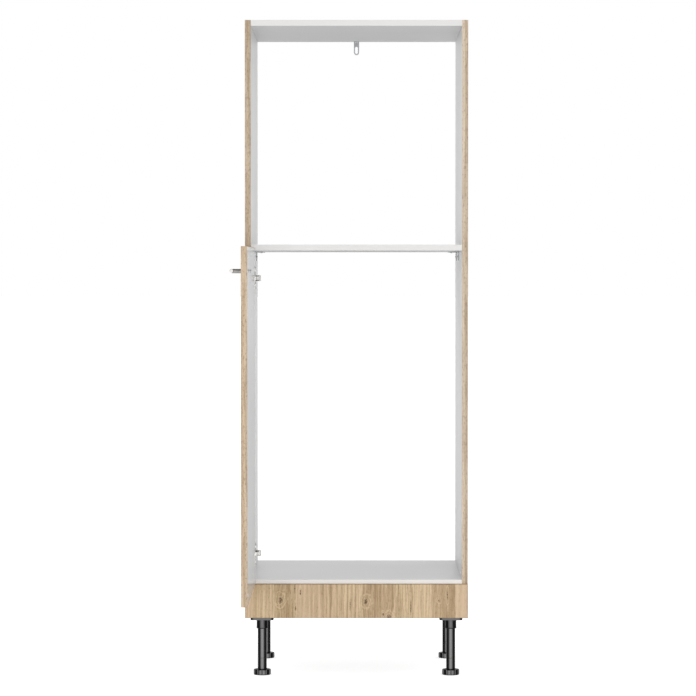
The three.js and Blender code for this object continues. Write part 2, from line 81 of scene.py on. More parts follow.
# %% Add a node and wire it
def add(tree, kind, inputs=None, **settings):
    node = tree.nodes.new("ShaderNode" + kind)
    for name, value in settings.items():
        setattr(node, name, value)
    for socket, value in (inputs or {}).items():
        if isinstance(value, bpy.types.NodeSocket):
            tree.links.new(value, node.inputs[socket])
        else:
            node.inputs[socket].default_value = value
    return node


def maths(tree, operation, first, second=0.0, third=0.0):
    inputs = {0: first, 1: second}
    if operation == "MULTIPLY_ADD":
        inputs[2] = third
    return add(tree, "Math", inputs, operation=operation).outputs[0]


def between(tree, value, low, high):
    """0 where value is at or below low, 1 at or above high, smooth in between."""
    inputs = {"Value": value, "From Min": low, "From Max": high}
    return add(tree, "MapRange", inputs, interpolation_type="SMOOTHSTEP").outputs["Result"]


def mixed(tree, factor, first, second):
    inputs = {0: factor, 6: first, 7: second}
    return add(tree, "Mix", inputs, data_type="RGBA").outputs[2]


def noise(tree, vector, scale, detail=2.0, roughness=0.5):
    """Noise between 0 and 1; scale is in cells per metre."""
    inputs = {"Vector": vector, "Scale": scale, "Detail": detail, "Roughness": roughness}
    return add(tree, "TexNoise", inputs).outputs[0]


print("helpers: add, maths, between, mixed, noise")


# %% Start a node group and a material
def new_group(name, inputs, outputs):
    tree = bpy.data.node_groups.new(name, "ShaderNodeTree")
    for label, kind, value in inputs:
        socket = tree.interface.new_socket(label, in_out="INPUT", socket_type="NodeSocket" + kind)
        if value is not None:
            socket.default_value = value
    for label, kind in outputs:
        tree.interface.new_socket(label, in_out="OUTPUT", socket_type="NodeSocket" + kind)
    return tree, tree.nodes.new("NodeGroupInput").outputs, tree.nodes.new("NodeGroupOutput").inputs


def place_group(tree, group, **values):
    node = tree.nodes.new("ShaderNodeGroup")
    node.node_tree = group
    for label, value in values.items():
        if isinstance(value, bpy.types.NodeSocket):
            tree.links.new(value, node.inputs[label])
        else:
            node.inputs[label].default_value = value
    return node.outputs


def new_material(name, **plain):
    """A material with plain values on its shader; an underscore in a name stands for a space."""
    material = bpy.data.materials.new(name)
    material.use_nodes = True
    tree = material.node_tree
    shader = tree.nodes["Principled BSDF"]
    for label, value in plain.items():
        shader.inputs[label.replace("_", " ")].default_value = value
    return material, tree, shader, add(tree, "TexCoord").outputs["Object"]


def wire_bump(tree, shader, height, strength, distance):
    bump = add(tree, "Bump", {"Height": height, "Strength": strength, "Distance": distance})
    tree.links.new(bump.outputs[0], shader.inputs["Normal"])


def srgb(red, green, blue):
    """A colour given as 0 to 255 values on screen, as the linear colour that a shader takes."""
    channels = [c / 255 for c in (red, green, blue)]
    return (*[c / 12.92 if c <= 0.04045 else ((c + 0.055) / 1.055) ** 2.4 for c in channels], 1.0)


print("white melamine is written as", [round(c, 3) for c in srgb(228, 228, 228)])

# %% [markdown]
# ## The oak foil
#
# Printed oak foil shows what a sawn plank shows: broad growth bands that lean into long arches, fine streaks,
# short dark pores along the grain, and knots that the grain flows round. An image texture would need a file,
# so the pattern is built from noise that is squeezed across the grain and stretched along it. The sum of X and
# Y serves as the distance across the grain, because every oak face here stands upright and faces one of the
# two. Knots are points with a reach: near one the grain is pushed sideways, and in its heart the wood darkens.

# %% A knot that bends the grain
fading, heart_edge, heart_full = -0.35, 1.0, 0.25
knot_group, given, result = new_group(
    "knot",
    [
        ("Vector", "Vector", None),
        ("Centre", "Vector", (0, 0, 0)),
        ("Size", "Float", 0.01),
        ("Length", "Float", 2.0),
    ],
    [("Nearness", "Float"), ("Heart", "Float")],
)
t = knot_group
offset = add(t, "VectorMath", {0: given["Vector"], 1: given["Centre"]}, operation="SUBTRACT").outputs[0]
parts = add(t, "SeparateXYZ", {0: offset}).outputs
shorter = maths(t, "DIVIDE", parts["Z"], given["Length"])
squeezed = add(t, "CombineXYZ", {0: parts["X"], 1: parts["Y"], 2: shorter}).outputs[0]
reach = add(t, "VectorMath", {0: squeezed}, operation="LENGTH").outputs["Value"]
relative = maths(t, "DIVIDE", reach, given["Size"])
squared = maths(t, "MULTIPLY", relative, relative)
t.links.new(maths(t, "EXPONENT", maths(t, "MULTIPLY", squared, fading)), result["Nearness"])
t.links.new(between(t, relative, heart_edge, heart_full), result["Heart"])
print("group made:", knot_group.name)

# %% [markdown]
# The foil is printed as narrow planks laid side by side, and the print repeats after 600 mm, the width of one
# unit. The planks are listed one by one, because their order is what the eye notices first: pale ones beside
# brown ones, quiet ones beside streaky ones. A colour ramp without blending holds the list. Its red channel
# says how dark a plank is, its green how streaky and its blue how rosy.

# %% Lay the planks
repeat = 600 * mm
# Where each plank starts in mm, then how dark, streaky and rosy it is.
planks = [
    (0, 0.50, 0.4, 0.9), (23, 0.28, 0.2, 0.1), (82, 0.60, 0.4, 0.0), (139, 0.36, 0.5, 0.7),
    (212, 0.56, 0.8, 0.3), (269, 0.38, 0.9, 0.2), (325, 0.62, 0.5, 0.3), (401, 0.52, 1.0, 0.1),
    (455, 0.14, 0.4, 0.2), (506, 0.66, 0.4, 0.3), (568, 0.12, 0.3, 0.9),
]


def lay_planks(tree, position):
    node = add(tree, "ValToRGB", {0: position})
    ramp = node.color_ramp
    ramp.interpolation = "CONSTANT"
    ramp.elements.remove(ramp.elements[1])
    for start, *look in planks:
        stop = ramp.elements.new(start * mm / repeat) if start else ramp.elements[0]
        stop.color = (*look, 1)
    return node.outputs["Color"]


print(len(planks), "planks in one repeat of", repeat / mm, "mm")

# %% Find the plank and the place on it
oak_group, given, result = new_group(
    "oak grain",
    [
        ("Vector", "Vector", None),
        ("Push", "Float", 0.0),
        ("Near", "Float", 0.0),
        ("Heart", "Float", 0.0),
        ("Start", "Float", 0.0),
        ("Speckle", "Float", 0.1),
        ("Pale", "Color", (0.6, 0.48, 0.33, 1)),
        ("Deep", "Color", (0.4, 0.28, 0.16, 1)),
        ("Rosy", "Color", (0.6, 0.45, 0.33, 1)),
        ("Pore", "Color", (0.2, 0.13, 0.08, 1)),
    ],
    [("Color", "Color"), ("Height", "Float"), ("Pores", "Float")],
)
t = oak_group
seam_wander, sway, plank_shift = 8 * mm, 30 * mm, 13.7
place = add(t, "SeparateXYZ", {0: given["Vector"]}).outputs
wander = noise(t, add(t, "CombineXYZ", {2: place["Z"]}).outputs[0], 3.0, 1.0)
straight = maths(t, "ADD", place["X"], place["Y"])
seam = maths(t, "MULTIPLY_ADD", noise(t, given["Vector"], 9.0, 3.0, 0.6), seam_wander, given["Start"])
turns = maths(t, "DIVIDE", maths(t, "ADD", straight, seam), repeat)
look = add(t, "SeparateColor", {0: lay_planks(t, maths(t, "FRACT", turns))}).outputs
dark, streaky, rosy = look["Red"], look["Green"], look["Blue"]
across = maths(t, "ADD", maths(t, "MULTIPLY_ADD", dark, plank_shift, straight), given["Push"])
across = maths(t, "MULTIPLY_ADD", wander, sway, across)
print("the seams wander by up to", seam_wander / mm, "mm, the grain by", sway / mm, "mm")

# %% [markdown]
# The grain is a sum of noises that all read the same drawn-out coordinates, from broad growth bands down to
# single fibres. A plank's darkness also shifts them, so that no two planks share a pattern. Veins and flecks
# are laid over the sum, because they have harder edges than plain noise.


# %% Draw the streaks
def drawn_noise(squeeze, scale, detail=2.0, roughness=0.5):
    """Noise that is stretched along the grain, the more so the smaller squeeze is."""
    drawn = add(t, "CombineXYZ", {0: across, 2: maths(t, "MULTIPLY", place["Z"], squeeze)}).outputs[0]
    return noise(t, drawn, scale, detail, roughness)


bands = drawn_noise(0.1, 16.0, 3.0)
rings = drawn_noise(0.07, 11.0)
streaks = drawn_noise(0.035, 190.0, 5.0, 0.7)
fibres = drawn_noise(0.03, 700.0, 2.0, 0.6)
ring_turns, ring_bend = 420.0, 42.0
ring_phase = maths(t, "MULTIPLY_ADD", rings, ring_bend, maths(t, "MULTIPLY", across, ring_turns))
ring_lines = maths(t, "MULTIPLY_ADD", maths(t, "SINE", ring_phase), 0.5, 0.5)
shares = [(bands, 0.24), (ring_lines, 0.05), (streaks, 0.53), (fibres, 0.18)]
tone = 0.0
for source, share in shares:
    tone = maths(t, "MULTIPLY_ADD", source, share, tone)
tone = maths(t, "SUBTRACT", between(t, tone, 0.36, 0.64), 0.5)
least_contrast, more_contrast, vein_depth = 0.55, 0.6, 0.4
tone = maths(t, "MULTIPLY_ADD", tone, maths(t, "MULTIPLY_ADD", streaky, more_contrast, least_contrast), dark)
veins = between(t, drawn_noise(0.03, 60.0, 2.0, 0.6), 0.6, 0.68)
tone = maths(t, "MULTIPLY_ADD", maths(t, "MULTIPLY", veins, streaky), vein_depth, tone)
upright = add(t, "VectorMath", {0: given["Vector"], 1: (1, 1, 0.45)}, operation="MULTIPLY").outputs[0]
flecks = between(t, noise(t, upright, 260.0, 3.0, 0.7), 0.52, 0.66)
tone = maths(t, "MULTIPLY_ADD", flecks, given["Speckle"], tone)
tone = maths(t, "MAXIMUM", maths(t, "MINIMUM", tone, 1.0), 0.0)
print("streak layers:", len(shares))

# %% Colour the wood and open its pores
wood = mixed(t, tone, given["Pale"], given["Deep"])
wood = mixed(t, maths(t, "MULTIPLY", rosy, 0.5), wood, given["Rosy"])
pores = between(t, drawn_noise(0.03, 1500.0, 1.0), 0.6, 0.7)
pores = maths(t, "MULTIPLY", pores, maths(t, "ADD", tone, 0.3))
pores = maths(t, "MINIMUM", maths(t, "MULTIPLY", pores, 0.9), 1.0)
wood = mixed(t, maths(t, "MULTIPLY", pores, 0.5), wood, given["Pore"])
print("colours mixed: pale, deep, rosy and pore")

# %% [markdown]
# Round a knot the wood lies in pale arcs. Arcs drawn from the distance alone look like a target, so noise is
# added to their phase and breaks them up. The heart is crumbled by finer noise in the same way.

# %% Draw the wood round the knots
arc_turns, arc_break, arc_share = 15.0, 16.0, 0.5
swirl = maths(t, "MULTIPLY", noise(t, given["Vector"], 75.0, 3.0, 0.6), arc_break)
arc_phase = maths(t, "MULTIPLY_ADD", given["Near"], arc_turns, swirl)
ripple = between(t, maths(t, "SINE", arc_phase), 0.1, 0.8)
arcs = maths(t, "MULTIPLY", ripple, between(t, given["Near"], 0.04, 0.3))
wood = mixed(t, maths(t, "MULTIPLY", arcs, arc_share), wood, given["Pale"])
crumbs = between(t, noise(t, given["Vector"], 230.0, 3.0, 0.6), 0.44, 0.56)
heart = maths(t, "MULTIPLY", given["Heart"], maths(t, "MULTIPLY_ADD", crumbs, 0.7, 0.3))
wood = mixed(t, heart, wood, given["Pore"])
t.links.new(wood, result["Color"])
t.links.new(pores, result["Pores"])
t.links.new(maths(t, "SUBTRACT", maths(t, "MULTIPLY", fibres, 0.3), pores), result["Height"])
print("group made:", oak_group.name)

# %% [markdown]
# Knots are listed one by one where they suit a piece: most of them on the base panel, where the eye rests, and
# a few on the door and the sides. Each has a size across the grain, and a length as a multiple of that size. A
# long thin one is a drying crack instead.

# %% Place the knots
base_low, base_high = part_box("base_panel")
door_low, door_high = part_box("door_panel")
unit_middle = (base_low.x + base_high.x) / 2
# Base panel: mm to the right of its left edge and below its top edge, then size in mm and length.
knots = [
    ((base_low.x + rightward * mm, base_low.y, base_high.z - downward * mm), size * mm, length)
    for rightward, downward, size, length in (
        (96, 43, 9.0, 1.4), (134, 12, 2.5, 9.0), (149, 22, 3.4, 3.0), (136, 66, 2.8, 4.0),
        (283, 58, 2.1, 12.0), (446, 62, 2.2, 12.0), (325, 47, 8.0, 1.6), (372, 82, 4.0, 1.6),
        (388, 88, 8.5, 1.2), (522, 44, 4.2, 1.3), (545, 30, 2.6, 6.0),
    )
]
# Door: mm behind its free edge and above its bottom edge.
knots += [
    ((door_low.x, door_low.y + backward * mm, door_low.z + upward * mm), size * mm, length)
    for backward, upward, size, length in ((170, 620, 14, 1.7), (440, 190, 10, 2.0), (300, 400, 3, 16.0))
]
# Sides: right or left of the unit's middle, then Y and Z in the shared frame in mm.
knots += [
    ((unit_middle + side * 300 * mm, backward * mm, upward * mm), size * mm, length)
    for side, backward, upward, size, length in (
        (1, 190, 520, 13, 1.8), (1, 410, 1310, 11, 1.9), (1, 300, 1020, 3, 18.0),
        (-1, 240, 1420, 12, 1.8), (-1, 460, 830, 12, 1.8),
    )
]
print("knots and cracks:", len(knots))


# %% Make the oak materials
def oak_material(name, pale, deep, rosy, pore, roughness, bump, start, speckle):
    material, tree, shader, where = new_material(name, IOR=1.48)
    push, near, heart = 0.0, 0.0, 0.0
    for centre, size, length in knots:
        knot = place_group(tree, knot_group, Vector=where, Centre=centre, Size=size, Length=length)
        push = maths(tree, "MULTIPLY_ADD", knot["Nearness"], size * 0.7, push)
        near = maths(tree, "MAXIMUM", knot["Nearness"], near)
        heart = maths(tree, "MAXIMUM", knot["Heart"], heart)
    grain = place_group(
        tree, oak_group, Vector=where, Push=push, Near=near, Heart=heart, Start=start, Speckle=speckle,
        Pale=pale, Deep=deep, Rosy=rosy, Pore=pore,
    )
    tree.links.new(grain["Color"], shader.inputs["Base Color"])
    tree.links.new(maths(tree, "MULTIPLY_ADD", grain["Pores"], 0.2, roughness), shader.inputs["Roughness"])
    wire_bump(tree, shader, grain["Height"], bump, 0.2 * mm)
    return material


first_plank = -(base_low.x + base_low.y)
shifted_plank = first_plank + 70 * mm
oak_face = oak_material(
    "oak_foil", srgb(226, 202, 165), srgb(156, 128, 90), srgb(214, 184, 158), srgb(96, 70, 44),
    roughness=0.5, bump=0.3, start=first_plank, speckle=0.25,
)
oak_edge = oak_material(
    "oak_edge_band", srgb(227, 210, 186), srgb(167, 144, 119), srgb(209, 184, 164), srgb(104, 80, 58),
    roughness=0.42, bump=0.2, start=shifted_plank, speckle=0.5,
)
# The base panel's bands are painted much darker than the other oak bands: painted shade for the shadow gaps
# round the panel.
shaded_panel_edge = oak_material(
    "panel_band_painted_shade", srgb(178, 152, 114), srgb(124, 99, 66), srgb(166, 138, 108), srgb(84, 62, 40),
    roughness=0.42, bump=0.2, start=first_plank, speckle=0.3,
)
door_edge = oak_material(
    "oak_door_band", srgb(219, 199, 171), srgb(161, 136, 109), srgb(202, 174, 151), srgb(100, 76, 53),
    roughness=0.42, bump=0.2, start=shifted_plank, speckle=0.5,
)
print("oak materials:", oak_face.name, oak_edge.name, shaded_panel_edge.name, door_edge.name)

# %% [markdown]
# ## White melamine and its edge band
#
# White melamine looks plain, yet light shows a fine pearl in it, because the resin takes the texture of the
# press plate. A little mottling in tone and in gloss keeps a large board from looking like cut paper. The edge
# band is a smoother plastic strip, a touch brighter than the board it is glued to. The fridge floor's band is
# painted brighter still, as painted light for its edge in the shaded corner above the base panel. The door's
# inner face is seen almost edge-on, where any smooth board turns into a mirror, so it gets a thin clear coat,
# and its white is painted a little darker under the coat, as painted shade.

# %% Pearl surface group
pearl_group, given, result = new_group(
    "pearl surface",
    [
        ("Vector", "Vector", None),
        ("Bright", "Color", (0.8, 0.8, 0.8, 1)),
        ("Dull", "Color", (0.7, 0.7, 0.7, 1)),
        ("Scale", "Float", 900.0),
    ],
    [("Color", "Color"), ("Gloss", "Float"), ("Height", "Float")],
)
t = pearl_group
cloud = noise(t, given["Vector"], 3.0, 1.0)
speck = noise(t, given["Vector"], 260.0, 2.0, 0.7)
pearl = noise(t, given["Vector"], given["Scale"], 1.0)
dust = maths(t, "MULTIPLY", between(t, cloud, 0.3, 0.75), 0.7)
dust = maths(t, "MULTIPLY_ADD", between(t, speck, 0.45, 0.8), 0.4, dust)
t.links.new(mixed(t, dust, given["Bright"], given["Dull"]), result["Color"])
t.links.new(cloud, result["Gloss"])
t.links.new(maths(t, "MULTIPLY_ADD", pearl, 0.7, maths(t, "MULTIPLY", speck, 0.3)), result["Height"])
print("group made:", pearl_group.name)


# %% White materials
def pearl_material(name, bright, dull, gloss, scale, bump, fade=0.0, **plain):
    """gloss is the least and most roughness, and fade takes the highlight off where the surface turns away."""
    material, tree, shader, where = new_material(name, **plain)
    pearl = place_group(tree, pearl_group, Vector=where, Bright=bright, Dull=dull, Scale=scale)
    tree.links.new(pearl["Color"], shader.inputs["Base Color"])
    rough = maths(tree, "MULTIPLY_ADD", pearl["Gloss"], gloss[1] - gloss[0], gloss[0])
    tree.links.new(rough, shader.inputs["Roughness"])
    wire_bump(tree, shader, pearl["Height"], bump, 0.1 * mm)
    if fade:
        facing = add(tree, "LayerWeight", {"Blend": 0.5}).outputs["Facing"]
        level = maths(tree, "MULTIPLY_ADD", facing, -fade, 1.0)
        tree.links.new(maths(tree, "MAXIMUM", level, 0.02), shader.inputs["Specular IOR Level"])
    return material


board_pearl, band_pearl = 900.0, 2200.0
white_face = pearl_material(
    "white_melamine", srgb(228, 228, 228), srgb(224, 224, 224), (0.3, 0.38), board_pearl, 0.04, IOR=1.45,
)
white_edge = pearl_material(
    "white_edge_band", srgb(235, 234, 233), srgb(231, 230, 228), (0.28, 0.34), band_pearl, 0.05, IOR=1.45,
)
# The fridge floor's band is painted brighter than the other white bands: painted light for its edge, which sits
# in the shaded corner above the base panel.
floor_band_painted_light = pearl_material(
    "floor_edge_band_painted_light", srgb(252, 250, 246), srgb(248, 246, 242), (0.26, 0.32), band_pearl, 0.05, IOR=1.45,
)
# The door's inner face is the same white melamine as the carcass, painted darker here: painted shade.
shaded_door_white = pearl_material(
    "door_face_painted_shade", srgb(209, 208, 208), srgb(204, 203, 203), (0.32, 0.4), board_pearl, 0.04, IOR=1.45,
    Coat_Weight=0.6, Coat_Roughness=0.05,
)
print("white materials:", white_face.name, white_edge.name, floor_band_painted_light.name, shaded_door_white.name)

# %% [markdown]
# ## Raw chipboard
#
# The long rear edges stand against a wall, so the maker leaves them without a band and the board's core
# shows. It is pressed from wood chips: pale and dark flakes, coarse in the middle. Two sizes of Voronoi cells
# give flakes with a colour each, and their borders sink a little.

# %% Chipboard material
chipboard, tree, shader, where = new_material("chipboard_core", Roughness=0.85, IOR=1.45)
stretched = add(tree, "Mapping", {"Vector": where, "Scale": (1.0, 1.0, 0.45)}).outputs[0]
coarse = add(tree, "TexVoronoi", {"Vector": stretched, "Scale": 420.0}).outputs
fine = add(tree, "TexVoronoi", {"Vector": stretched, "Scale": 1300.0}).outputs
flake = add(tree, "SeparateColor", {0: coarse["Color"]}).outputs
crumb = add(tree, "SeparateColor", {0: fine["Color"]}).outputs
body = mixed(tree, flake["Red"], srgb(228, 208, 174), srgb(196, 168, 130))
dark_crumbs = maths(tree, "MULTIPLY", between(tree, crumb["Green"], 0.6, 1.0), 0.5)
body = mixed(tree, dark_crumbs, body, srgb(158, 126, 92))
tree.links.new(body, shader.inputs["Base Color"])
wire_bump(tree, shader, maths(tree, "ADD", coarse["Distance"], fine["Distance"]), 0.6, 0.6 * mm)
print("material made:", chipboard.name)

# %% [markdown]
# ## Metals and plastics
#
# The hinge is nickel plated, the handle is brushed steel, and the small angles are zinc plated. What tells
# them apart is their gloss and the marks in it: drawn lines on the handle, soft stains on nickel, and a
# cloudy crystal pattern on zinc. One group makes the marks, and each metal stretches them its own way. Black
# plastic would mirror the white studio all round its curved sides and turn grey, so its highlight fades where
# the surface turns away, by a Layer Weight on the specular level.

# %% Drawn marks group
marks_group, given, result = new_group(
    "drawn marks",
    [("Vector", "Vector", None), ("Stretch", "Vector", (1, 1, 1)), ("Scale", "Float", 2000.0)],
    [("Lines", "Float"), ("Stain", "Float")],
)
t = marks_group
pulled = add(t, "VectorMath", {0: given["Vector"], 1: given["Stretch"]}, operation="MULTIPLY").outputs[0]
t.links.new(noise(t, pulled, given["Scale"], 3.0, 0.6), result["Lines"])
t.links.new(noise(t, given["Vector"], 120.0, 3.0, 0.55), result["Stain"])
print("group made:", marks_group.name)


# %% Metals
def metal_material(name, bright, dull, gloss, stretch, bump, scale=2000.0):
    material, tree, shader, where = new_material(name, Metallic=1.0)
    marks = place_group(tree, marks_group, Vector=where, Stretch=stretch, Scale=scale)
    tree.links.new(mixed(tree, marks["Stain"], bright, dull), shader.inputs["Base Color"])
    rough = maths(tree, "MULTIPLY_ADD", marks["Lines"], gloss[1] - gloss[0], gloss[0])
    tree.links.new(rough, shader.inputs["Roughness"])
    wire_bump(tree, shader, marks["Lines"], bump, 0.05 * mm)
    return material


along_x, along_y, along_z, even = (0.04, 1, 1), (1, 0.04, 1), (1, 1, 0.2), (1, 1, 1)
drawn_gloss = (0.14, 0.26)
handle_steel = metal_material(
    "brushed_steel", srgb(226, 225, 223), srgb(208, 207, 205), drawn_gloss, along_y, 0.3,
)
# The posts are the same brushed steel as the bar, painted darker: painted shade.
shaded_post_steel = metal_material(
    "post_painted_shade_steel", srgb(158, 157, 155), srgb(132, 131, 129), drawn_gloss, along_x, 0.3,
)
hinge_nickel = metal_material(
    "nickel_plate", srgb(240, 239, 236), srgb(220, 219, 216), drawn_gloss, even, 0.1,
)
zinc_plate = metal_material(
    "zinc_plate", srgb(194, 196, 198), srgb(164, 167, 170), (0.2, 0.34), along_z, 0.15,
)
screw_steel = metal_material(
    "screw_steel", srgb(206, 206, 205), srgb(178, 178, 177), (0.16, 0.3), even, 0.15, scale=3500.0,
)
print("metals:", handle_steel.name, shaded_post_steel.name, hinge_nickel.name, zinc_plate.name, screw_steel.name)

# %% Plastics
leg_plastic = pearl_material(
    "black_leg_plastic", srgb(16, 16, 17), srgb(11, 11, 12), (0.22, 0.32), 1400.0, 0.2, fade=8.0, IOR=2.05,
)
socket_plastic = pearl_material(
    "black_socket_plastic", srgb(14, 14, 15), srgb(10, 10, 11), (0.26, 0.36), 1400.0, 0.2, fade=8.0, IOR=1.75,
)
block_plastic = pearl_material(
    "grey_block_plastic", srgb(212, 212, 209), srgb(196, 196, 193), (0.35, 0.5), 1600.0, 0.3, IOR=1.5,
)
buffer_rubber = pearl_material(
    "buffer_rubber", srgb(222, 222, 219), srgb(206, 206, 203), (0.4, 0.6), 1800.0, 0.2, IOR=1.45,
)
print("plastics:", leg_plastic.name, socket_plastic.name, block_plastic.name, buffer_rubber.name)

# %% [markdown]
# ## Pieces from bmesh
#
# A piece starts as a bmesh, gets a name and a finish, and is tied to the CAD body that carries it. A turned
# or pressed piece is shaded smooth, with its sharp edges kept, and a Weighted Normal modifier keeps its flat
# faces flat beside their small bevels.


# %% Finish a piece
merge_distance, touching = 0.001 * mm, 0.01 * mm


def finish_piece(name, shape, materials, body, stands_for=(), smooth=40):
    """Makes the object, ties it to its body and hides the CAD nodes it stands for."""
    mesh = bpy.data.meshes.new(name)
    shape.to_mesh(mesh)
    shape.free()
    for material in materials:
        mesh.materials.append(material)
    piece = bpy.data.objects.new(name, mesh)
    scene.collection.objects.link(piece)
    if smooth:
        mesh.shade_smooth()
        mesh.set_sharp_from_angle(angle=radians(smooth))
        piece.modifiers.new("Flat faces stay flat", "WEIGHTED_NORMAL").keep_sharp = True
    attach(piece, body)
    if stands_for:
        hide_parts(*stands_for)
    return piece


def body_of(node):
    return frame["nodes"][node]["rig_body"]


def merged_copy(node):
    """The CAD node's mesh with its doubled corners merged and its flat faces made whole."""
    shape = bmesh.new()
    shape.from_mesh(frame["nodes"][node].data)
    bmesh.ops.remove_doubles(shape, verts=shape.verts, dist=merge_distance)
    bmesh.ops.dissolve_limit(shape, angle_limit=radians(0.5), verts=shape.verts, edges=shape.edges)
    return shape


def soften(shape, edges, width, segments=2):
    """Rounds edges of a bmesh with a bevel."""
    bmesh.ops.bevel(
        shape, geom=edges, offset=width, offset_type="OFFSET", segments=segments, profile=0.5,
        affect="EDGES", clamp_overlap=True, material=-1,
    )


print("helpers: finish_piece, merged_copy, soften")

# %% [markdown]
# ## Boards with edge bands
#
# A furniture board is a core with a foil on its two faces, and on each edge that shows, a strip of plastic one
# millimetre thick is glued on and rounded over. So each board becomes a core that stops a millimetre short of
# its banded edges, plus the bands. The core is a merged copy of the CAD board, which keeps its bores. Each
# face takes its finish from the way it looks.

# %% One board
band_thickness, band_round, core_round = 1.0 * mm, 0.7 * mm, 0.2 * mm
axes = {"X": 0, "Y": 1, "Z": 2}


def board(node, faces, bands):
    """faces and bands say which finish looks which way, such as {"-X": oak_face}."""
    low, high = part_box(node)
    body = body_of(node)
    shape = merged_copy(node)
    for side in bands:
        axis, plane = axes[side[1]], (low if side[0] == "-" else high)
        inward = Vector((0, 0, 0))
        inward[axis] = band_thickness if side[0] == "-" else -band_thickness
        edge_verts = [v for v in shape.verts if abs(v.co[axis] - plane[axis]) < touching]
        bmesh.ops.translate(shape, vec=inward, verts=edge_verts)
    core_low = Vector(min(v.co[i] for v in shape.verts) for i in range(3))
    core_high = Vector(max(v.co[i] for v in shape.verts) for i in range(3))

    def on_rim(edge):
        middle = (edge.verts[0].co + edge.verts[1].co) / 2
        return sum(min(middle[i] - core_low[i], core_high[i] - middle[i]) < touching for i in range(3)) > 1

    soften(shape, [e for e in shape.edges if on_rim(e)], core_round, 1)
    materials = list(dict.fromkeys(faces.values())) + [chipboard]
    for face in shape.faces:
        axis = max(range(3), key=lambda i: abs(face.normal[i]))
        middle = face.calc_center_median()
        out = core_high[axis] - middle[axis] if face.normal[axis] > 0 else middle[axis] - core_low[axis]
        side = ("+" if face.normal[axis] > 0 else "-") + "XYZ"[axis]
        finish = faces.get(side) if out < core_round + 0.05 * mm else None
        face.material_index = materials.index(finish) if finish else len(materials) - 1
    pieces = [finish_piece(node + "_core", shape, materials, body, [node], smooth=0)]
    span_low, span_high = low.copy(), high.copy()
    for side, material in bands.items():
        axis, positive = axes[side[1]], side[0] == "+"
        strip_low, strip_high = span_low.copy(), span_high.copy()
        if positive:
            strip_low[axis] = high[axis] - band_thickness
            span_high[axis] = strip_low[axis]
        else:
            strip_high[axis] = low[axis] + band_thickness
            span_low[axis] = strip_high[axis]
        pieces.append(band(node, side, strip_low, strip_high, material, body))
    return pieces


def band(node, side, low, high, material, body):
    """A strip whose outer long edges are rounded over, as the trimming tool leaves them."""
    axis, positive = axes[side[1]], side[0] == "+"
    strip = bmesh.new()
    bmesh.ops.create_cube(strip, size=1.0)
    bmesh.ops.scale(strip, vec=high - low, verts=strip.verts)
    bmesh.ops.translate(strip, vec=(low + high) / 2, verts=strip.verts)
    plane = high[axis] if positive else low[axis]
    outer = [e for e in strip.edges if all(abs(v.co[axis] - plane) < touching for v in e.verts)]
    soften(strip, outer, band_round, 4)
    words = {"-X": "left", "+X": "right", "-Y": "front", "+Y": "rear", "-Z": "bottom", "+Z": "top"}
    return finish_piece(f"{node}_band_{words[side]}", strip, [material], body, smooth=0)


print("edge bands are", band_thickness / mm, "mm thick")

# %% Cut the boards of the carcass
made = []
side_bands = {"-Y": oak_edge, "+Z": oak_edge}
made += board("side_panel_left", {"-X": oak_face, "+X": white_face}, side_bands)
made += board("side_panel_right", {"+X": oak_face, "-X": white_face}, side_bands)
for flat_board in ("top_board", "oven_shelf", "fridge_floor", "leg_rail_front", "leg_rail_rear"):
    # The fridge floor's front band takes the white with painted light.
    front_band = floor_band_painted_light if flat_board == "fridge_floor" else white_edge
    made += board(flat_board, {"-Z": white_face, "+Z": white_face}, {"-Y": front_band})
print("carcass pieces:", len(made))

# %% [markdown]
# The base panel and the door are fronts, so the foil's grain runs upright on both and every edge is banded.
# The door's inner face is white, and its bores for the hinge cups stay raw inside.

# %% Cut the fronts
# The base panel's bands take the darker oak with painted shade.
panel_bands = dict.fromkeys(("-X", "+X", "-Z", "+Z"), shaded_panel_edge)
made += board("base_panel", {"-Y": oak_face, "+Y": white_face}, panel_bands)
door_bands = dict.fromkeys(("-Y", "+Y", "-Z", "+Z"), door_edge)
made += board("door_panel", {"-X": oak_face, "+X": shaded_door_white}, door_bands)
print("boards and bands so far:", len(made))

# %% [markdown]
# ## Turned pieces
#
# Leg tubes, feet, screw heads and the handle's bar are all made the same way: half a section is drawn as a few
# points, spun once round its axis, and its sharp rims are bevelled. A full spin merges its own seam, and the
# points on the axis are merged afterwards, so the skin is closed.


# %% Spin a section
def spun(section, sides=64):
    """section is a list of (radius, height) points from the bottom to the top of the axis."""
    shape = bmesh.new()
    points = [shape.verts.new((radius, 0, height)) for radius, height in section]
    for first, second in zip(points, points[1:]):
        shape.edges.new((first, second))
    bmesh.ops.spin(
        shape, geom=shape.verts[:] + shape.edges[:], cent=(0, 0, 0), axis=(0, 0, 1), dvec=(0, 0, 0),
        angle=tau, steps=sides, use_merge=True, use_duplicate=False,
    )
    bmesh.ops.remove_doubles(shape, verts=shape.verts, dist=merge_distance)
    bmesh.ops.recalc_face_normals(shape, faces=shape.faces)
    return shape


def sharp_edges(shape, angle=35):
    return [e for e in shape.edges if e.is_manifold and e.calc_face_angle() > radians(angle)]


def moved(shape, place, turn=None):
    if turn is not None:
        bmesh.ops.transform(shape, matrix=turn, verts=shape.verts)
    bmesh.ops.translate(shape, vec=place, verts=shape.verts)
    return shape


